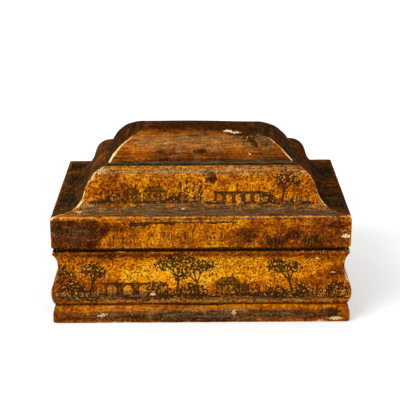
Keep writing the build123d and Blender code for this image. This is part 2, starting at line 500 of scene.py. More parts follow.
def swell(value, low, high):
    """0 below low, 1 above high and smooth between."""
    share = np.clip((value - low) / (high - low), 0, 1)
    return share * share * (3 - 2 * share)


# The print under the varnish
class Print:
    """A line print on one face: x runs along the strip and y up its outline.

    Ink is dark above 0 and a pale highlight below it."""

    CELL = 0.3 * MM
    PALE = -0.6

    def __init__(self, half_run, tall, seed):
        self.across = np.arange(-half_run, half_run, self.CELL)
        self.up = np.arange(0, tall, self.CELL)
        self.ink = np.zeros((len(self.up), len(self.across)))
        self.chance = np.random.default_rng(seed)

    def patch(self, low, high):
        """The cells between two corners, and their places."""
        columns = slice(*np.searchsorted(self.across, (low[0], high[0])))
        rows = slice(*np.searchsorted(self.up, (low[1], high[1])))
        x, y = np.meshgrid(self.across[columns], self.up[rows])
        return (rows, columns), x, y

    def press(self, cells, cover, dark):
        self.ink[cells] += (dark - self.ink[cells]) * np.clip(cover, 0, 1)

    def line(self, start, end, width, dark=1.0):
        start, end = np.array(start, float), np.array(end, float)
        cells, x, y = self.patch(np.minimum(start, end) - width, np.maximum(start, end) + width)
        reach = end - start
        share = ((x - start[0]) * reach[0] + (y - start[1]) * reach[1]) / (reach @ reach + 1e-12)
        share = np.clip(share, 0, 1)
        away = np.hypot(x - start[0] - share * reach[0], y - start[1] - share * reach[1])
        self.press(cells, (width / 2 - away) / self.CELL + 0.5, dark)

    def path(self, points, width, dark=1.0):
        for start, end in zip(points, points[1:]):
            self.line(start, end, width, dark)

    def area(self, corners, dark, gap=0.0):
        """A filled polygon, hatched with slanting lines where a gap is given."""
        corners = np.array(corners, float)
        cells, x, y = self.patch(corners.min(0), corners.max(0))
        inside = np.zeros(x.shape, bool)
        for (ax, ay), (bx, by) in zip(corners, np.roll(corners, -1, 0)):
            level = by - ay if by != ay else 1e-9
            inside ^= ((ay > y) != (by > y)) & (x < (bx - ax) * (y - ay) / level + ax)
        cover = inside.astype(float)
        if gap:
            cover *= 0.25 + 0.75 * (np.sin((x + y) * 2 * math.pi / gap) > 0)
        self.press(cells, cover, dark)

    def leaves(self, centre, spread, count):
        """Dabs scattered round a centre, about one in five of them a pale one."""
        for _ in range(count):
            angle = self.chance.uniform(0, 2 * math.pi)
            far = spread * math.sqrt(self.chance.random())
            x = centre[0] + far * math.cos(angle)
            y = centre[1] + far * math.sin(angle) * 0.7
            turn = self.chance.uniform(0, math.pi)
            size = self.chance.uniform(0.5, 1.5) * MM
            pale = self.chance.random() < 0.22
            tone = self.PALE if pale else 0.95 * self.chance.uniform(0.7, 1)
            tip = (x + size * math.cos(turn), y + size * math.sin(turn))
            self.line((x, y), tip, self.chance.uniform(0.7, 1.1) * MM, tone)

    def branch(self, start, angle, length, width, spread):
        """A branch that forks in three until its twigs are short enough for leaves."""
        end = (start[0] + length * math.cos(angle), start[1] + length * math.sin(angle))
        self.line(start, end, width)
        if length < 4 * MM:
            self.leaves(end, spread, 30)
            return
        for turn in (-0.5, 0.05, 0.55):
            lean = angle + turn + self.chance.normal(0, 0.12)
            self.branch(end, lean, length * self.chance.uniform(0.5, 0.72), width * 0.65, spread)

    def tree(self, x, y, height, spread, lean):
        self.branch((x, y), math.pi / 2 - lean, height * 0.42, height * 0.06, spread)

    def poplar(self, x, y, height):
        self.line((x, y), (x, y + height), 0.6 * MM)
        for share in np.linspace(0.2, 1, 9):
            self.leaves((x, y + height * share), height * 0.14 * (1.25 - share), 9)

    def grove(self, x, y, wide, tall):
        """A dark hatched copse with a ragged crown of leaves."""
        turns = np.linspace(0, math.pi, 15)
        rise = tall * self.chance.uniform(0.7, 1.1, 15)
        dome = [(x + wide / 2 * math.cos(a), y + r * math.sin(a)) for a, r in zip(turns, rise)]
        self.area(dome, 0.85, 1.3 * MM)
        for a, r in zip(turns[1:-1], rise[1:-1]):
            for share in (0.45, 0.9):
                spot = (x + wide / 2 * share * math.cos(a), y + r * share * math.sin(a))
                self.leaves(spot, tall * 0.24, 16)

    def frond(self, x, y, height, lean):
        """A leaning stem with feathery blades."""
        stem = [(x + lean * height * t * t, y + height * t) for t in np.linspace(0, 1, 14)]
        self.path(stem, 1 * MM)
        for number, (sx, sy) in enumerate(stem[1:]):
            for way in (-1, 1):
                blade = height * self.chance.uniform(0.12, 0.26) * (1.3 - number / 14)
                rise = self.chance.uniform(-0.2, 0.6) * blade
                tip = (sx + way * blade, sy + rise)
                self.line((sx, sy), tip, self.chance.uniform(0.6, 1.2) * MM, 0.9)
                self.leaves(tip, 1.6 * MM, 3)

    def reeds(self, low, high, y, height, pale=0.3):
        """Upright strokes between low and high, this share of them pale."""
        for x in np.arange(low, high, 1.3 * MM):
            rise = height * self.chance.uniform(0.4, 1)
            lean = self.chance.normal(0, 0.25) * rise
            tone = self.PALE if self.chance.random() < pale else 0.85
            self.line((x, y), (x + lean, y + rise), 0.5 * MM, tone)

    def house(self, x, y, wide, tall, roof):
        """A house: hatched front, darker roof, three dark openings and a chimney."""
        eave = y + tall
        ridge = eave + roof
        self.area([(x, y), (x + wide, y), (x + wide, eave), (x, eave)], 0.55, 1.4 * MM)
        eaves = [(x - 1 * MM, eave), (x + wide + 1 * MM, eave)]
        self.area([*eaves, (x + wide * 0.8, ridge), (x + wide * 0.2, ridge)], 0.85, 0.9 * MM)
        self.path([(x, y), (x, eave), (x + wide, eave), (x + wide, y)], 0.5 * MM)
        for share in (0.25, 0.5, 0.75):
            at = x + wide * share
            self.line((at, y + tall * 0.45), (at, y + tall * 0.75), 1.2 * MM)
        chimney = x + wide * 0.7
        self.line((chimney, ridge), (chimney, ridge + 2.5 * MM), 1.4 * MM)

    def arches(self, low, high, y, tall, count):
        """A stone bridge or aqueduct with round-headed openings."""
        self.area([(low, y), (high, y), (high, y + tall), (low, y + tall)], 0.75, 1.1 * MM)
        self.line((low - 1 * MM, y + tall), (high + 1 * MM, y + tall), 0.8 * MM)
        bay = (high - low) / count
        turns = np.linspace(0, math.pi, 11)
        for place in range(count):
            middle = low + bay * (place + 0.5)
            half = bay * 0.32
            spring = max(0, tall * 0.85 - half)
            ring = [(middle + half * math.cos(a), y + spring + half * math.sin(a)) for a in turns]
            ring = [(middle + half, y), *ring, (middle - half, y)]
            self.area(ring, -0.25)
            self.path(ring, 0.5 * MM)

    def wheel(self, x, y, radius):
        """A water wheel: a rim with a spoke at every third point."""
        turns = np.linspace(0, 2 * math.pi, 25)
        rim = [(x + radius * math.cos(a), y + radius * math.sin(a)) for a in turns]
        self.path(rim, 0.7 * MM)
        for point in rim[::3]:
            self.line((x, y), point, 0.4 * MM)

    def fence(self, low, high, y, tall):
        for x in np.arange(low, high, 4 * MM):
            self.line((x, y), (x, y + tall), 0.6 * MM)
        for share in (0.45, 0.85):
            self.line((low, y + tall * share), (high, y + tall * share), 0.5 * MM)

    def ground(self, level, deep, wave, seed):
        """A wavy bank across the face, in level strokes that thin out here and there."""
        zero = np.zeros(len(self.across))
        roll = drift(self.across, zero, 26 * MM, seed)
        thick = drift(self.across, zero, 17 * MM, seed + 1) ** 1.5
        for place in range(0, len(self.across), 4):
            x = self.across[place]
            rise = level + wave * (roll[place] - 0.5) * 2
            for _ in range(3):
                drop = deep * (0.3 + thick[place]) * self.chance.random()
                reach = self.chance.uniform(2, 6) * MM
                tone = -0.5 if self.chance.random() < 0.12 else self.chance.uniform(0.3, 0.9)
                self.line((x, rise - drop), (x + reach, rise - drop), 0.7 * MM, tone)

    def bird(self, x, y):
        tips = y + 0.8 * MM
        self.path([(x - 1.6 * MM, tips), (x, y), (x + 1.6 * MM, tips)], 0.45 * MM)

    def draw(self, *rows):
        """Draws each row: a motif, its lengths in millimetres, then its other values."""
        for motif, lengths, *others in rows:
            motif(self, *(length * MM for length in lengths), *others)

    def at(self, run, climb):
        """The ink at these places."""
        u = np.clip((run - self.across[0]) / self.CELL, 0, len(self.across) - 1.001)
        v = np.clip((climb - self.up[0]) / self.CELL, 0, len(self.up) - 1.001)
        i, j = u.astype(int), v.astype(int)
        fu, fv = u - i, v - j
        low = self.ink[j, i] * (1 - fu) + self.ink[j, i + 1] * fu
        high = self.ink[j + 1, i] * (1 - fu) + self.ink[j + 1, i + 1] * fu
        inside = (climb < self.up[-1]) & (np.abs(run) < -self.across[0])
        return (low * (1 - fv) + high * fv) * inside


def river_print():
    """The front of the base: a copse, a stone bridge, elms, a water mill and an oak."""
    scene = Print(HALF_LENGTH, 60 * MM, 5)
    scene.draw(
        (Print.ground, (13, 6, 2), 3),
        (Print.reeds, (-147, -104, 12, 10)),
        (Print.tree, (-140, 13, 27, 5), -0.1),
        (Print.grove, (-130, 13, 28, 13)),
        (Print.tree, (-113, 11, 33, 5.4), 0.25),
        (Print.reeds, (-148, -104, 11, 6), 0.75),
        (Print.arches, (-98, -50, 13, 12), 3),
        (Print.grove, (-44, 12, 24, 14)),
        (Print.tree, (-24, 12, 37, 6), 0.05),
        (Print.grove, (-10, 12, 34, 12)),
        (Print.tree, (-3, 12, 31, 5.4), -0.12),
        (Print.house, (15, 13, 24, 10, 8)),
        (Print.house, (35, 13, 13, 7, 5)),
        (Print.wheel, (52, 18, 7)),
        (Print.reeds, (58, 78, 11, 10)),
        (Print.grove, (76, 12, 22, 9)),
        (Print.tree, (92, 12, 35, 6), -0.2),
        (Print.grove, (101, 12, 26, 12)),
        (Print.fence, (112, 130, 12, 7)),
        (Print.grove, (136, 13, 20, 13)),
        (Print.reeds, (110, 148, 11, 11), 0.65),
        (Print.bird, (-70, 38)),
        (Print.bird, (-62, 41)),
        (Print.bird, (47, 40)),
        (Print.bird, (53, 38)),
    )
    return scene


def hill_print():
    """The front of the ogee: a farm, poplars, an aqueduct and a leaning tree."""
    scene = Print(115 * MM, 66 * MM, 8)
    scene.draw(
        (Print.ground, (33, 5, 0.6), 31),
        (Print.reeds, (-108, -90, 32, 9)),
        (Print.grove, (-88, 32, 17, 9)),
        (Print.house, (-78, 32, 17, 8, 7)),
        (Print.house, (-58, 32, 23, 11, 6)),
        (Print.grove, (-29, 32, 15, 8)),
        (Print.poplar, (-21, 32, 19)),
        (Print.poplar, (-14, 32, 24)),
        (Print.poplar, (-7, 32, 18)),
        (Print.poplar, (0, 32, 21)),
        (Print.arches, (14, 62, 32, 10), 5),
        (Print.grove, (68, 32, 16, 9)),
        (Print.tree, (82, 32, 27, 4.4), 0.25),
        (Print.reeds, (88, 110, 32, 8)),
        (Print.bird, (-2, 54)),
        (Print.bird, (36, 53)),
        (Print.bird, (42, 55)),
    )
    return scene


def frieze_print():
    """The front of the lid: faint upright strokes and a dark scratch under the fillet."""
    scene = Print(HALF_LENGTH, 34 * MM, 12)
    for low, high in ((-96, -64), (-44, -8), (6, 22), (46, 84), (96, 116)):
        scene.reeds(low * MM, high * MM, 6 * MM, 21 * MM)
    scene.ink *= 0.75
    for low, high, climb, thick in (
        (-71, -54, 28.2, 4),
        (-56, -36, 29.4, 2.2),
        (-38, 34, 29.8, 1.2),
        (-35, -27, 28.4, 2.2),
        (8, 15, 28.8, 1.8),
    ):
        for x in np.arange(low, high, 1.5):
            rise = climb + 0.4 * math.sin(x * 0.9)
            width = thick * scene.chance.uniform(0.5, 1.1) * MM
            scene.line((x * MM, rise * MM), ((x + 1.5) * MM, rise * MM), width)
    return scene


def leaf_print(half_run, low, high, seed, dark=0.9):
    """Loose dark sprays, trees and copses in no set order, as on the sides."""
    scene = Print(half_run, high + 6 * MM, seed)
    x = -half_run + 9 * MM
    while x < half_run - 9 * MM:
        tall = (high - low) * scene.chance.uniform(0.65, 1)
        lean = scene.chance.uniform(-0.5, 0.5)
        motif = scene.chance.integers(4)
        if motif == 0:
            scene.tree(x, low, tall, 4.6 * MM, lean)
        elif motif == 1:
            scene.grove(x, low, tall * 0.8, tall * 0.5)
        elif motif == 2:
            scene.frond(x, low, tall, lean)
        else:
            scene.reeds(x - 7 * MM, x + 7 * MM, low, tall * 0.5)
        x += scene.chance.uniform(9, 19) * MM
    scene.ink *= dark
    return scene


def crown_print():
    """The front of the crown: two faint trees with reeds beside them."""
    scene = Print(CROWN_HALF_LENGTH, 60 * MM, 15)
    scene.draw((Print.tree, (-62, 16, 22, 3.4), 0.5), (Print.reeds, (-50, -34, 26, 7)))
    scene.ink *= 0.4
    scene.draw((Print.tree, (58, 22, 19, 3), -0.3), (Print.reeds, (44, 70, 24, 8)))
    scene.ink *= 0.8
    return scene


MARK_KINDS = ("shade", "olive", "haze", "chip")
MARK_GRAIN = 0.55
MARK_RAGGED = 0.7
MARK_CRUMBLED = 0.4
CRISP_BLUR = 0.25
SOFT_BLUR = 0.6

# Wear and stains of the front, with some painted shade and painted sheen, in millimetres on each
# piece: kind, run, climb, half width, half height, strength
MARKS = {
    "plinth_front": [
        ("shade", -60, 7, 95, 5, 0.25),
        ("shade", 60, 12, 60, 5, 0.22),
        ("shade", 131, 13, 9, 4, 0.5),
        ("shade", 20, 2, 45, 3, 0.35),
        ("chip", 0, 9, 150, 10, 0.17),
        ("chip", -101, 11, 5, 2.2, 0.42),
        ("chip", 136, 6, 7, 1.6, 0.7),
        ("chip", 121, 3, 5, 1.6, 0.6),
        ("chip", 33, 12, 2, 4, 0.36),
        ("chip", -90, 2, 18, 1.4, 0.6),
        ("shade", 0, 20, 150, 3, -0.06),
        ("olive", -50, 11, 120, 6, 0.42),
        ("olive", 70, 10, 100, 6, 0.42),
        ("shade", -20, 10, 60, 5, 0.15),
        ("shade", 96, 9, 40, 5, 0.2),
        ("shade", -120, 10, 24, 4, 0.15),
        ("haze", -70, 1, 60, 1.6, 0.6),
        ("haze", 60, 1, 90, 1.6, 0.5),
        ("haze", -20, 16, 110, 1.6, 0.5),
    ],
    "base_front": [
        ("shade", -134, 30, 40, 60, 0.15),
        ("olive", 0, 5, 160, 4, 0.6),
        ("shade", 0, 10, 170, 5, 0.16),
        ("olive", -100, 12, 60, 4, 0.8),
        ("olive", 60, 10, 90, 3.4, 0.7),
        ("shade", 140, 26, 36, 50, 0.12),
        # Partly painted highlight: the middle of the base front's swell is lightened, over the
        # lacquer's golden tone
        ("shade", 0, 41, 104, 13, -0.18),
        ("shade", -40, 30, 34, 14, -0.14),
        ("shade", 95, 44, 34, 8, -0.1),
        ("shade", 0, 57.5, 160, 3, 0.24),
        ("shade", -60, 55, 60, 3.4, 0.2),
        ("shade", 80, 54, 50, 3, 0.2),
        ("shade", 0, 0.6, 160, 2.4, 0.45),
        ("shade", 0, 17, 160, 9, 0.08),
        ("shade", 0, 5.4, 170, 2, -0.25),
        ("chip", -49, 13.5, 2.6, 1.3, 1),
        ("chip", 116, 50, 2.2, 1, 0.9),
        ("chip", 133, 35, 2.6, 1, 0.9),
        ("chip", -96, 55, 2, 1, 0.5),
    ],
    "lid_front": [
        ("shade", -128, 17, 29, 22, 0.5),
        ("olive", -128, 20, 20, 9, 0.45),
        ("shade", -96, 24, 30, 5, 0.2),
        ("shade", 39, 13, 15, 8, 0.42),
        ("shade", 72, 9, 12, 6, 0.3),
        ("shade", 92, 17, 8, 5, 0.4),
        ("shade", 132, 14, 34, 18, 0.28),
        ("shade", 100, 14, 44, 24, 0.16),
        ("shade", 137, 27, 8, 4, 0.3),
        ("chip", 145, 14.5, 5.5, 2, 1),
        ("chip", 142, 20, 1.5, 1.2, 0.8),
        ("chip", -77, 4, 16, 1, 0.32),
        ("chip", -13, 4.2, 8, 1, 0.32),
    ],
    "ogee_front": [
        ("olive", 0, 15, 152, 15.5, 1.3),
        ("shade", 138, 12, 20, 14, 0.3),
        ("haze", -112, 24, 18, 9, 0.8),
        ("shade", -92, 45, 18, 20, 0.22),
        # Partly painted highlight: the ogee's rounded top is paler, over its worn speckled lacquer
        ("haze", 0, 66, 130, 6, 0.9),
        ("olive", 108, 11, 44, 13, 0.8),
        ("shade", 118, 8, 34, 8, 0.3),
        ("shade", 0, 7.8, 150, 1.6, 0.3),
        ("chip", -122, 19.5, 4.5, 1.8, 1),
        ("chip", -110.5, 58, 1.8, 3.4, 1),
        ("chip", -102, 66, 5, 4, 0.5),
        ("chip", 104, 63, 3, 2, 0.5),
        ("shade", 96, 56, 22, 18, 0.2),
        ("shade", 11, 56.5, 4.6, 6, 0.95),
        ("shade", 8, 64, 5, 4, 0.4),
        ("shade", -60, 52, 40, 8, 0.06),
        ("chip", -18, 24, 2, 1, 0.7),
    ],
    "crown_front": [
        # Painted shade: the crown's top, turned away from the front lamps, is darkened
        ("shade", 0, 62, 160, 20, 0.26),
        ("shade", 20, 61, 160, 14, 0.26),
        ("shade", 0, 2, 120, 5, 0.25),
        ("shade", 0, 11, 120, 6, 0.12),
        ("olive", 10, 10, 110, 8, 0.3),
        # Painted sheen: the crown's paler middle band stands in for a lamp's reflection
        ("haze", -10, 29, 84, 11, 0.65),
        ("shade", 60, 38, 22, 12, 0.3),
        ("shade", -40, 15.5, 4.5, 2, 0.8),
        ("shade", -1, 16, 6, 2.4, 0.8),
        ("chip", 29, 44.5, 4.5, 2, 1),
        ("chip", 37, 42.5, 5, 1.5, 0.9),
        ("chip", 50.5, 14, 1.5, 1.1, 0.8),
    ],
}


def ragged_marks(node, run, climb, seed):
    """The marks of one piece, each with a ragged edge."""
    found = {kind: np.zeros(len(run)) for kind in MARK_KINDS}
    for number, (kind, x, y, wide, tall, strength) in enumerate(MARKS.get(node, [])):
        away = np.hypot((run / MM - x) / wide, (climb / MM - y) / tall)
        rough = min(wide, tall) * MARK_GRAIN * MM
        away += MARK_RAGGED * (drift(run, climb, rough, seed + number) - 0.5)
        away += MARK_CRUMBLED * (drift(run, climb, rough * 0.35, seed + number + 50) - 0.5)
        crisp = kind == "chip" or (kind == "shade" and strength >= 0.5)
        blur = CRISP_BLUR if crisp else SOFT_BLUR
        found[kind] += strength * swell(-away, -1 - blur, -1 + blur)
    return found


# Finishes
CHANNELS = ("run", "climb", "shown", "ink", "wear", "grime", *MARK_KINDS, "calm", "dusk")
GROUND = (
    (0.0, rgb(40, 18, 2)),
    (0.2, rgb(86, 42, 4)),
    (0.42, rgb(156, 78, 4)),
    (0.62, rgb(218, 126, 4)),
    (0.82, rgb(250, 164, 4)),
    (1.0, rgb(255, 190, 50)),
)
GREENED = rgb(118, 88, 14)
RUST = rgb(146, 56, 2)
SPECK = rgb(164, 104, 44)
HAZE_AND_SHEEN_COLOURS = (rgb(78, 58, 32), rgb(206, 162, 94))
OLIVES = (rgb(52, 45, 28), rgb(116, 100, 68))
FLECK = rgb(64, 21, 7)
INK = rgb(44, 30, 14)
HIGHLIGHT = rgb(218, 162, 66)
DIRT_AND_SHADE = rgb(22, 13, 7)
RUBBED_AND_HIGHLIGHT = (rgb(206, 122, 34), rgb(232, 174, 92), rgb(252, 232, 176))
DULLING_AND_SHADE_TINT = rgb(150, 136, 92)
CRUMBS = (rgb(206, 164, 96), rgb(247, 228, 180))
BARE_WOOD = (rgb(62, 36, 18), rgb(112, 74, 40))
PLAIN_WOOD = (rgb(70, 42, 22), rgb(126, 86, 50))
PANEL_VARNISH = (rgb(26, 16, 4), rgb(92, 64, 24))
PANEL_FLECK = rgb(196, 166, 116)


def new_finish(name):
    """An empty finish, its graph and its shader."""
    finish = bpy.data.materials.new(name)
    finish.use_nodes = True
    return finish, Graph(finish.node_tree), finish.node_tree.nodes["Principled BSDF"]


def lacquer():
    """Amber lacquer with all its age, steered by the channels kept on each mesh."""
    finish, graph, shader = new_finish("aged amber lacquer")
    place = graph.place()
    run, climb, shown, ink, wear, grime, shade, olive, haze, chip, calm, dusk = (
        graph.attribute(name) for name in CHANNELS
    )
    lively = 1 - calm * 0.7

    # Clouds of four sizes, and streaks that run along the strip
    broad = graph.noise(place, 24, 4, 0.6) - 0.5
    middle = graph.noise(place, 110, 4, 0.65) - 0.5
    fine = graph.noise(place, 420, 3, 0.7) - 0.5
    grit = graph.noise(place, 950, 2, 0.6) - 0.5
    wiped = graph.combine(run * 0.12, climb, shown)
    streak = graph.noise(wiped, 400, 4, 0.7) - 0.5

    # The amber ground, with greened, rusty and pale specks
    patchy = (middle * 1.1 + fine * 1.1 + grit * 0.5) * lively
    tone = broad * 0.8 + patchy + streak * (calm * 0.6 + 0.4) + 0.71 - shade
    greened = graph.noise(place, 60, 3, 0.6).step(0.5, 0.68) * 0.15
    colour = graph.mix(greened, graph.ramp(tone, *GROUND), GREENED)
    reddish = shade.step(0.1, 0.3) * (1 - shade.step(0.35, 0.55)) * 0.4 + 0.45
    rust = graph.noise(place, 330, 3, 0.75).step(0.48, 0.64) * reddish * lively
    colour = graph.mix(rust, colour, RUST)
    speck = (fine * 0.6 + grit).step(0.04, 0.16) * shade.step(0.3, 0.6) * lively * 0.45
    colour = graph.mix(speck, colour, SPECK)

    # Haze, partly a painted sheen on the crown and a painted highlight on the ogee's top, and
    # olive stains
    haze_and_sheen_share = (haze + middle * 1.4 - 0.1).clamp() * 0.8
    cloudy = ((fine + grit) * lively + streak * (1 - calm * 0.5)).step(-0.16, 0.18)
    colour = graph.mix(haze_and_sheen_share, colour, graph.mix(cloudy, *HAZE_AND_SHEEN_COLOURS))
    faded = (olive + middle * 1.2 - 0.15).clamp() * 0.85
    colour = graph.mix(faded, colour, graph.mix(streak.step(-0.1, 0.1), *OLIVES))

    # Dark flecks and round spots
    density = broad.step(-0.2, 0.25)
    fleck = graph.noise(place, 500, 2, 0.65).step(0.55 - density * 0.05, 0.6 - density * 0.04)
    pits = graph.node("ShaderNodeTexVoronoi", {"feature": "F1"}, {"Vector": place, "Scale": 380})
    spot = (0.38 - pits).step(0.0, 0.2) * middle.step(-0.08, 0.05) * 0.85
    colour = graph.mix(fleck.most(spot) * (1 - haze_and_sheen_share * 0.8) * lively * 0.85, colour, FLECK)

    # The print
    bite = graph.noise(place, 800, 2, 0.6)
    drawn = (ink * 1.7 - bite * 0.7).step(0.0, 0.4) * 0.92
    colour = graph.mix(drawn, colour, INK)
    light = (ink * -1.8 - bite * 0.7).step(0.0, 0.4) * 0.8
    colour = graph.mix(light, colour, HIGHLIGHT)

    # Dirt in the creases and painted shade in the gap between lid and base, then rubbed arrises,
    # on the crown's hips partly a painted highlight
    dirt_and_shade = (grime * 1.5 + middle * 1.6 + broad - 0.3).clamp() * 0.94
    colour = graph.mix(dirt_and_shade, colour, DIRT_AND_SHADE)
    rub_and_highlight = (wear * 1.5 + middle * 1.8 + fine * 1.6 - 0.6).most(0)
    shares = (rub_and_highlight.step(0.02, 0.4), rub_and_highlight.step(0.35, 0.9) * 0.7, rub_and_highlight.step(0.9, 1.3))
    for share, rubbed in zip(shares, RUBBED_AND_HIGHLIGHT):
        colour = graph.mix(share, colour, rubbed)
    # Partly painted shade: the sides are multiplied darker, as duller lacquer and, on the slopes,
    # as shade away from the front lamps
    colour = graph.mix(dusk, colour, DULLING_AND_SHADE_TINT, "MULTIPLY")

    # Spots where the lacquer is lost, and wood that has none
    crumbly = (fine * 2.4 + grit * 4 + middle * 1.2) * (chip * 4).clamp()
    lost = (chip * 1.4 + crumbly - 0.5).step(0.1, 0.45)
    crumb = graph.mix(bite.step(0.35, 0.6) * chip.step(0.2, 0.7), *CRUMBS)
    colour = graph.mix(lost, colour, crumb)
    bare = graph.mix(streak.step(-0.2, 0.2), *BARE_WOOD)
    colour = graph.mix(shown.step(0.3, 0.7), bare, colour)

    dull = middle * 0.3 + rub_and_highlight.clamp() * 0.25 + lost * 0.3 + haze_and_sheen_share * 0.1 + dusk * 0.3 + calm * 0.5
    relief = streak * 0.4 - fleck * 0.4 - spot * 0.4 + fine * 0.4 + drawn * 0.15 - lost * 0.5
    relief = {"Strength": 0.35, "Distance": 0.0004, "Height": relief}
    surface = {"Base Color": colour, "Roughness": dull - shown * 0.15 + 0.74}
    surface |= {"Normal": graph.node("ShaderNodeBump", None, relief), "Specular IOR Level": 0.012}
    graph.feed(shader, surface)
    return finish


def turned_finish(name, colours, metallic, roughness, stretch=1.0, scale=300):
    """Plain wood or metal: two colours, clouded or grained along x."""
    finish, graph, shader = new_finish(name)
    place = graph.place()
    grained = graph.combine(place.part("X") * stretch, place.part("Y"), place.part("Z"))
    cloud = graph.noise(grained, scale, 4, 0.65, 0.5)
    colour = graph.mix(cloud.step(0.3, 0.7), *colours)
    surface = {"Base Color": colour, "Roughness": cloud * 0.3 + roughness - 0.15}
    graph.feed(shader, {**surface, "Metallic": metallic})
    return finish


def panel_finish():
    """Plain wood, varnished nearly black where the crown's surround shows."""
    finish = turned_finish("varnished panel", PLAIN_WOOD, 0, 0.85, 0.08, 240)
    graph = Graph(finish.node_tree)
    shader = finish.node_tree.nodes["Principled BSDF"]
    wood = Term(graph, shader.inputs["Base Color"].links[0].from_socket)
    place = graph.place()
    dark = graph.mix(graph.noise(place, 160, 4, 0.7).step(0.4, 0.62), *PANEL_VARNISH)
    fleck = graph.noise(place, 420, 2, 0.6).step(0.62, 0.7)
    dark = graph.mix(fleck * 0.7, dark, PANEL_FLECK)
    top = place.part("Z").step(PANEL_TOP - 0.8 * MM, PANEL_TOP - 0.3 * MM)
    graph.feed(shader, {"Base Color": graph.mix(top, wood, dark), "Specular IOR Level": 0.02})
    return finish


LACQUER = lacquer()
PANEL = panel_finish()
BOARD = turned_finish("plain wood", PLAIN_WOOD, 0, 0.7, 0.08, 240)
BRASS = turned_finish("tarnished brass", (rgb(96, 66, 24), rgb(168, 126, 60)), 1, 0.42)
IRON = turned_finish("dark iron", (rgb(36, 30, 26), rgb(84, 74, 66)), 1, 0.5)
SWEEP = sweep_tree()


# The moulded strips
def sweep(name, outline, side, half_run, reach, spacing):
    """An object of the outline carried along one side, its vertices about a spacing apart."""
    guide = bpy.data.meshes.new(name + " outline")
    guide.from_pydata([(p[0], p[1], 0) for p in outline.points], [], [])
    guide_object = bpy.data.objects.new(name + " outline", guide)
    piece = run_tree(
        name,
        SWEEP,
        {
            "Outline": guide_object,
            "Outline Points": len(outline.points),
            "Stations": max(3, round(2 * half_run / spacing)),
            "Half Run": half_run,
            "Reach": reach,
            "Turn": math.radians(SIDES[side]),
            "Finish": LACQUER,
        },
    )
    bpy.data.objects.remove(guide_object)
    return piece


def outward(outline):
    """Each point's normal, out of the wood. The last point of a closed outline is its first."""
    points = np.array(outline.points)
    closed = np.allclose(points[0], points[-1])
    ring = points[:-1] if closed else points
    ahead = np.roll(ring, -1, 0) - ring
    behind = ring - np.roll(ring, 1, 0)
    if not closed:
        ahead[-1], behind[0] = behind[-1], ahead[0]
    tangent = ahead / np.hypot(*ahead.T)[:, None] + behind / np.hypot(*behind.T)[:, None]
    tangent /= np.hypot(*tangent.T)[:, None] + 1e-12
    return np.stack([-tangent[:, 1], tangent[:, 0]], 1), ring


Swept = namedtuple("Swept", "points normal shown climb run from_mitre")


def read_sweep(mesh, outline, half_run):
    """Each vertex's outline point and its normal, whether lacquer shows, its climb up the
    outline, its run along the side and its way from the mitre."""
    normals, ring = outward(outline)
    row = np.rint(column(mesh, "row")).astype(int) % len(ring)
    station = column(mesh, "station")
    climbs = np.concatenate([[0], np.cumsum(np.hypot(*np.diff(ring, axis=0).T))])
    reach = half_run - ring[row][:, 0]
    return Swept(
        points=ring[row],
        normal=normals[row],
        shown=np.array(outline.shown)[row],
        climb=climbs[row],
        run=station * reach,
        from_mitre=(1 - np.abs(station)) * reach,
    )


def paint(mesh, **columns):
    """Keeps the channels on the mesh, each a column or one number for the whole."""
    for name in CHANNELS:
        put_column(mesh, name, np.zeros(len(mesh.vertices)) + columns[name])


def run_and_reach(side, half_length, half_depth):
    """Half the run of a side, and how far the side lies from the middle."""
    return (half_length, half_depth) if side in ("front", "back") else (half_depth, half_length)


def pocket(node, place, points):
    """Lets the hinge leaves and their barrels into the back edges."""
    depth = points[:, 0]
    inside = np.zeros(len(points), bool)
    for centre in HINGE_CENTRES:
        for edge in (centre - HINGE_BED_HALF, centre + HINGE_BED_HALF):
            close = (np.abs(place[:, 0] - edge) < PLAIN_STEP / 2) & (depth > 0)
            place[close & (depth < BED_SNAP_DEPTH), 0] = edge
        inside |= np.abs(place[:, 0] - centre) < HINGE_BED_HALF + HAIR
    inside &= depth < HINGE_BED_INSET + HAIR
    if node == "base_back":
        low = inside & (place[:, 2] > SEAT - LEAF_THICKNESS)
        low &= depth > LIP_INSET + GAP_DEPTH - HAIR
        place[low, 2] = SEAT - LEAF_THICKNESS
    if node == "lid_back":
        off = np.abs(depth - HINGE_AXIS_INSET)
        roof = SEAT + np.sqrt(np.maximum(BARREL_ROOM**2 - off**2, 0)) * (off < BARREL_ROOM)
        roof = np.where(depth > HINGE_AXIS_INSET, np.maximum(roof, SEAT + LEAF_THICKNESS), roof)
        place[inside, 2] = np.maximum(place[inside, 2], roof[inside])


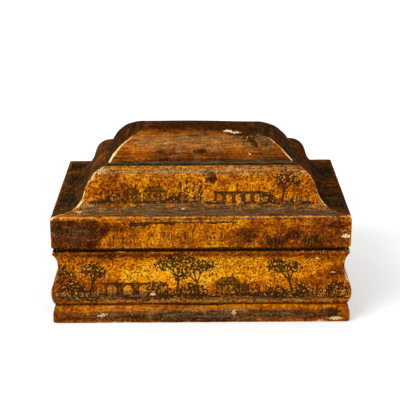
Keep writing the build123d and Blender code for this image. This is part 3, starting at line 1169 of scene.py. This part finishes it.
# What each moulding carries: its outline, the arrises that rub and how much, the crease that
# holds dirt, the gap that is darkened as painted shade, how dark it is and how even its lacquer is
Kind = namedtuple("Kind", "draw arrises rubbed crease gap shade calm")
CREASE = (CREASE_INSET, PLINTH_TOP)
KINDS = {
    "plinth": Kind(
        draw=plinth_outline,
        arrises=[(0.4 * MM, 0.8 * MM)],
        rubbed=0.6,
        crease=CREASE,
        gap=[],
        shade=0.24,
        calm=0.5,
    ),
    "base": Kind(
        draw=wall_outline,
        arrises=[(LIP_INSET + 0.3 * MM, LIP_TOP - 0.5 * MM)],
        rubbed=0.35,
        crease=CREASE,
        gap=[(LIP_INSET + GAP_DEPTH * share, LIP_TOP) for share in (0.4, 0.6, 0.8, 1)],
        shade=0.1,
        calm=0,
    ),
    "lid": Kind(
        draw=rail_outline,
        arrises=[(1 * MM, SEAT + 0.9 * MM)],
        rubbed=0.3,
        crease=CREASE,
        gap=[(2 * MM, SEAT), (4 * MM, SEAT)],
        shade=0.12,
        calm=0.15,
    ),
    "ogee": Kind(
        draw=ogee_outline,
        arrises=[(0, RAIL_TOP + 0.8 * MM), (0.7 * MM, ARRIS - 0.7 * MM)],
        rubbed=0.68,
        crease=(-1.6 * MM, RAIL_TOP),
        gap=[],
        shade=0.1,
        calm=0,
    ),
}
PRINTS = {
    "base_front": river_print,
    "ogee_front": hill_print,
    "lid_front": frieze_print,
    "ogee_left": lambda: leaf_print(94 * MM, 7 * MM, 56 * MM, 21),
    "ogee_right": lambda: leaf_print(94 * MM, 7 * MM, 56 * MM, 22),
    "ogee_back": lambda: leaf_print(136 * MM, 12 * MM, 52 * MM, 25),
    "base_back": lambda: leaf_print(HALF_LENGTH, 12 * MM, 44 * MM, 26),
    "base_left": lambda: leaf_print(HALF_DEPTH, 12 * MM, 44 * MM, 23, 1),
    "base_right": lambda: leaf_print(HALF_DEPTH, 12 * MM, 44 * MM, 24, 1),
}

# How worn the two ends of a strip are, the one at negative run first
PLAIN_WEAR = (0.5, 0.5)
WORN = {
    "ogee_front": (1.7, 0.9),
    "ogee_left": (0.5, 1.3),
    "ogee_right": (0.8, 0.5),
    "base_front": (0.7, 0.8),
    "lid_front": (0.5, 0.8),
}

# How much darker and duller the walls and the slopes are on each side; on the slopes this is
# partly painted shade, darker on the right, away from the key lamp
WALL_SHADE = {"front": 0.0, "right": 0.2, "back": 0.24, "left": 0.2}
SLOPE_SHADE = {"front": 0.0, "right": 0.16, "back": 0.2, "left": 0.08}
WALL_DUSK = {"front": 0.0, "right": 0.5, "back": 0.6, "left": 0.5}
SLOPE_DULLING_AND_SHADE = {"front": 0.0, "right": 1.0, "back": 0.8, "left": 0.85}
WALL_CALM = 0.4
SLOPE_CALM = 0.1
SMOKE_DEPTH = 0.5
SMOKE_OLIVE = 1.44

# How wide the worn and the dirty lines are, and the painted shade in the gap
EDGE_WIDTH = 1.5 * MM
FRINGE_WIDTH = 1.3 * MM
CREASE_WIDTH = 1.6 * MM
GAP_SHADE_WIDTH = 1.4 * MM
MITRE_WIDTH = 0.4 * MM

# How deep the wear goes
EDGE_WEAR = 1.1 * MM
CORNER_WEAR = 0.9 * MM
MITRE_WEAR = 0.3 * MM
CHIP_DEPTH = 0.35 * MM
WAVE_DEPTH = 0.14 * MM


def worn_corner(swept, ends, seed):
    """How far the mitred corners are rubbed and flaked away, in broken patches."""
    worn = np.where(swept.run < 0, *ends)
    still = swept.run * 0
    flaked = drift(swept.climb, still, 9 * MM, seed + 6)
    flaked = 0.3 + 1.6 * flaked * (0.5 + drift(swept.climb, still, 2.4 * MM, seed + 7))
    reach = (0.5 + worn * flaked) * MM
    return 1.3 * bump(swept.from_mitre, reach) * worn * np.clip(flaked, 0, 1.2)


def strip_sink(swept, edge, corner, chip, seed):
    """How deep the face lies under its outline: worn edges, dents, chips and slight waves."""
    run, climb = swept.run, swept.climb
    rough = drift(run, climb, 7 * MM, seed) * drift(run, climb, 2.2 * MM, seed + 1)
    sink = EDGE_WEAR * edge * rough**1.3 + CORNER_WEAR * corner * rough
    waves = WAVE_DEPTH * drift(run, climb, 28 * MM, seed + 2)
    sink += MITRE_WEAR * bump(swept.from_mitre, 0.5 * MM) + waves
    sink += CHIP_DEPTH * chip
    return sink * swept.shown


def strip(name, side):
    """One moulded strip with its wear, dirt and print, and painted shade in the gap and on the
    slopes.
    """
    kind = KINDS[name]
    node = name + "_" + side
    sloped = name == "ogee"
    step = FINE_STEP if side == "front" else PLAIN_STEP
    outline = kind.draw(step)
    half_run, reach = run_and_reach(side, HALF_LENGTH, HALF_DEPTH)
    piece = sweep(node + ".finish", outline, side, half_run, reach, step)
    mesh = piece.data
    swept = read_sweep(mesh, outline, half_run)
    run, climb = swept.run, swept.climb
    seed = 100 * list(SIDES).index(side) + 7 * len(name)
    marks = ragged_marks(node, run, climb, seed)
    edge = near(swept.points, kind.arrises[-1:], EDGE_WIDTH)
    corner = worn_corner(swept, WORN.get(node, PLAIN_WEAR), seed)

    sink = strip_sink(swept, edge, corner, marks["chip"], seed)
    spin = np.array(Matrix.Rotation(math.radians(SIDES[side]), 3, "Z"))
    straight = np.stack([np.zeros_like(run), swept.normal[:, 0], swept.normal[:, 1]], 1)
    place = places(mesh) - (straight @ spin.T) * sink[:, None]
    if side == "back":
        pocket(node, place, swept.points)
    move_to(mesh, place)

    fringe = np.maximum(edge, 0.5 * near(swept.points, kind.arrises, FRINGE_WIDTH))
    ledge = drift(run, climb, 16 * MM, seed + 3) + drift(run, climb, 5 * MM, seed + 4)
    ledge = 0.75 + 0.6 * ledge * drift(run, climb, 1.8 * MM, seed + 5)
    caught = 1.2 * drift(run, run * 0, 34 * MM, seed + 8) - 0.1
    grime = near(swept.points, [kind.crease], CREASE_WIDTH) * caught
    # Painted shade: the gap between lid and base and the lid's underside beside it are darkened
    # nearly to black
    if kind.gap:
        grime += 1.5 * near(swept.points, kind.gap, GAP_SHADE_WIDTH)
    grime += 0.3 * bump(swept.from_mitre, MITRE_WIDTH)
    # On the slopes the side darkening is partly painted shade
    shade = marks["shade"] + (kind.shade + (SLOPE_SHADE if sloped else WALL_SHADE)[side])
    olive = marks["olive"]
    calm = kind.calm
    if side != "front":
        smoke = drift(run, climb * 0.8, 19 * MM, seed + 9)
        smoke = 0.5 * (smoke + drift(run, climb * 0.7, 5.3 * MM, seed + 10))
        shade += SMOKE_DEPTH * (smoke - 0.5)
        olive += SMOKE_OLIVE * smoke if sloped else 0
        calm = SLOPE_CALM if sloped else WALL_CALM
    paint(
        mesh,
        run=run,
        climb=climb,
        shown=swept.shown,
        ink=PRINTS[node]().at(run, climb) if node in PRINTS else 0,
        wear=np.clip(fringe * ledge * kind.rubbed + corner, 0, 1.5),
        grime=grime,
        shade=shade,
        olive=olive,
        haze=marks["haze"],
        chip=marks["chip"],
        calm=calm,
        dusk=(SLOPE_DULLING_AND_SHADE if sloped else WALL_DUSK)[side],
    )
    close_up(mesh)
    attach(piece, "base" if name in ("plinth", "base") else "lid")
    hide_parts(node)


# The crown
CROWN_SAG = 1.5 * MM
CROWN_LEAN = 1.1 * MM
CROWN_FLATNESS = 2.5
CROWN_SHOULDER = 0.62
CROWN_END_INSET = 0.72
CROWN_END_GROWTH = 0.34
CROWN_WAVE = 0.35 * MM
CROWN_DENT = 1.2 * MM
CROWN_SEED = 70


def fuller(points, place):
    """Gives the crown squarer shoulders and a flatter top, within its foot and its height."""
    inset, height = points.T
    rise = CROWN_TOP - PANEL_TOP - CROWN_FOOT
    share = np.clip((height - PANEL_TOP - CROWN_FOOT) / rise, 0, 1)
    depth = CROWN_HALF_DEPTH * (1 - share**CROWN_FLATNESS) ** CROWN_SHOULDER
    plain = CROWN_HALF_DEPTH - inset
    place[:, 1] *= np.where(plain > HAIR, depth / np.maximum(plain, HAIR), 1)
    end_inset = inset * np.minimum(1, CROWN_END_INSET + CROWN_END_GROWTH * share)
    place[:, 0] *= (CROWN_HALF_LENGTH - end_inset) / (CROWN_HALF_LENGTH - inset)


def lean_end(climb, place):
    """Lowers and draws in the crown's right end."""
    share = swell(place[:, 0], -10 * MM, 75 * MM) * swell(climb, 2 * MM, 16 * MM)
    place[:, 2] -= CROWN_SAG * share
    place[:, 0] -= CROWN_LEAN * share


def crown_side(side, scene):
    """One curved side of the crown, with its wear and dirt, partly painted highlight on its hips
    and painted shade on its top.
    """
    outline = crown_outline(FINE_STEP)
    half_run, reach = run_and_reach(side, CROWN_HALF_LENGTH, CROWN_HALF_DEPTH)
    piece = sweep("crown " + side, outline, side, half_run, reach, PLAIN_STEP)
    mesh = piece.data
    swept = read_sweep(mesh, outline, half_run)
    run, climb = swept.run, swept.climb
    marks = ragged_marks("crown_" + side, run, climb, 400 + SIDES[side])
    place = places(mesh)
    fuller(swept.points, place)
    lean_end(climb, place)

    x, y = place[:, 0], place[:, 1]
    dents = drift(x, y, 9 * MM, CROWN_SEED + 1) * drift(x, y, 3 * MM, CROWN_SEED + 2)
    ragged = 0.5 + 1.1 * drift(climb, run * 0, 8 * MM, CROWN_SEED + 4 + len(side))
    # Worn hips, one end of each side wider; on the front the wider left hip faces the key lamp and
    # is partly a painted highlight
    broad = np.where((run < 0) == (side == "front"), 2.8 * MM, 1.5 * MM)
    hip_wear_and_highlight = 1.5 * bump(swept.from_mitre, broad) * (1 - swell(climb, 24 * MM, 44 * MM)) * ragged
    sink = CROWN_WAVE * drift(x, y, 30 * MM, CROWN_SEED + 3) + CROWN_DENT * hip_wear_and_highlight * dents
    place[:, 2] -= sink * swell(climb, 1 * MM, 5 * MM)
    move_to(mesh, place)

    ragged_climb = climb + 0.8 * MM * drift(run, climb, 6 * MM, CROWN_SEED + 5)
    foot = 1 - swell(ragged_climb, 4 * MM, 5 * MM)
    front = side == "front"
    smoke = 0 if front else 0.5 * drift(run * 0.2, climb, 2.6 * MM, CROWN_SEED + 6)
    paint(
        mesh,
        run=run,
        climb=climb,
        shown=swept.shown,
        ink=scene.at(run, climb) if front else 0,
        wear=hip_wear_and_highlight * swell(climb, 3 * MM, 5 * MM),
        grime=0.7 * bump(climb, 1.5 * MM),
        # The ends and back are darker and duller; the front's darker top comes from its marks and
        # is painted shade
        shade=0.3 + marks["shade"] + smoke + 0.5 * foot,
        olive=marks["olive"] + (0 if front else 0.5) + 1.2 * foot,
        haze=marks["haze"],
        chip=marks["chip"],
        calm=0.85,
        dusk=0 if front else 0.8,
    )
    return piece


def crown():
    """The pillow on top: four curved sides that meet at the hips."""
    joined = bmesh.new()
    scene = crown_print()
    for side in SIDES:
        piece = crown_side(side, scene)
        joined.from_mesh(piece.data)
        bpy.data.objects.remove(piece)
    mesh = bpy.data.meshes.new("crown")
    joined.to_mesh(mesh)
    joined.free()
    mesh.materials.append(LACQUER)
    close_up(mesh)
    piece = put_in_scene("crown.finish", mesh)
    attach(piece, "lid")
    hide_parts("crown")


# The whole box, then the wood, brass or iron of the pieces that keep the frame's shapes
for side in SIDES:
    for name in KINDS:
        strip(name, side)
crown()
for node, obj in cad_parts.items():
    if node == "top_panel":
        finish = PANEL
    elif node == "bottom_board":
        finish = BOARD
    elif node.endswith("_leaf"):
        finish = BRASS
    else:
        finish = IRON
    obj.data.materials.clear()
    obj.data.materials.append(finish)

# Camera, measured from the photograph, whose frame is 400 pixels wide
PHOTO_WIDTH = 400
FOCAL_PIXELS = 1307
SENSOR_WIDTH = 36
PITCH = math.radians(17.105)
YAW = math.radians(0.02)
ROLL = math.radians(-0.354)
EYE = Vector((-0.0012, -1.3412, 0.5106))

# The white studio
FLOOR_SIZE = 60
FLOOR_GREY = 0.82
FLOOR_GLOW = 0.38
FLOOR_FADE = (0.3, 1.6)
WORLD_LIGHT = 0.35


def camera():
    """The photograph's camera."""
    lens = bpy.data.cameras.new("camera")
    lens.sensor_width = SENSOR_WIDTH
    lens.lens = FOCAL_PIXELS / PHOTO_WIDTH * SENSOR_WIDTH
    forward = math.cos(PITCH)
    ahead = Vector((math.sin(YAW) * forward, math.cos(YAW) * forward, -math.sin(PITCH)))
    level = Vector((math.cos(YAW), -math.sin(YAW), 0))
    up = level.cross(ahead)
    right = level * math.cos(ROLL) + up * math.sin(ROLL)
    up = up * math.cos(ROLL) - level * math.sin(ROLL)
    turned = Matrix((right, up, -ahead)).transposed().to_4x4()
    holder = put_in_scene("camera", lens)
    holder.matrix_world = Matrix.Translation(EYE) @ turned
    bpy.context.scene.camera = holder


def softbox(name, place, target, size, power):
    """A soft rectangular lamp aimed at the target."""
    light = bpy.data.lights.new(name, "AREA")
    light.shape = "RECTANGLE"
    light.size, light.size_y = size
    light.energy = power
    holder = put_in_scene(name, light)
    holder.location = place
    holder.rotation_euler = (Vector(target) - Vector(place)).to_track_quat("-Z", "Y").to_euler()


def white_world():
    """White to the eye and in reflections, and dimmer as a light."""
    world = bpy.data.worlds.new("white studio")
    world.use_nodes = True
    graph = Graph(world.node_tree)
    seen, mirrored, passed = (
        graph.node("ShaderNodeLightPath", output=f"Is {kind} Ray")
        for kind in ("Camera", "Glossy", "Transmission")
    )
    strength = seen.most(mirrored.most(passed)) * (1 - WORLD_LIGHT) + WORLD_LIGHT
    backdrop = world.node_tree.nodes["Background"]
    graph.feed(backdrop, {"Color": (1, 1, 1, 1), "Strength": strength})
    bpy.context.scene.world = world


def floor():
    """White paper that takes the shadow and fades to pure white away from the box."""
    bpy.ops.mesh.primitive_plane_add(size=FLOOR_SIZE)
    plane = bpy.context.object
    plane.name = "floor"
    paper = bpy.data.materials.new("white paper")
    paper.use_nodes = True
    tree = paper.node_tree
    graph = Graph(tree)
    tree.nodes.remove(tree.nodes["Principled BSDF"])
    grey = (FLOOR_GREY, FLOOR_GREY, FLOOR_GREY, 1)
    matt = graph.node("ShaderNodeBsdfDiffuse", None, {"Color": grey})
    seen = graph.node("ShaderNodeLightPath", output="Is Camera Ray")
    away = graph.node("ShaderNodeVectorMath", {"operation": "LENGTH"}, {0: graph.place()}, "Value")
    shine = seen * (away.step(*FLOOR_FADE) * 0.5 + FLOOR_GLOW)
    glow = graph.node("ShaderNodeEmission", None, {"Strength": shine})
    both = graph.node("ShaderNodeAddShader", None, {0: matt, 1: glow})
    graph.feed(tree.nodes["Material Output"], {"Surface": both})
    plane.data.materials.append(paper)


camera()
white_world()
floor()
softbox("key", (-1.1, -1.3, 1.5), (0, 0, 0.08), (1.2, 1.2), 34)
softbox("fill", (1.4, -1.2, 0.7), (0, 0, 0.08), (1.0, 1.0), 6.5)
softbox("rear", (0.3, 1.4, 1.5), (0, 0, 0.1), (1.4, 1.0), 10)
bpy.context.scene.view_settings.view_transform = "Standard"
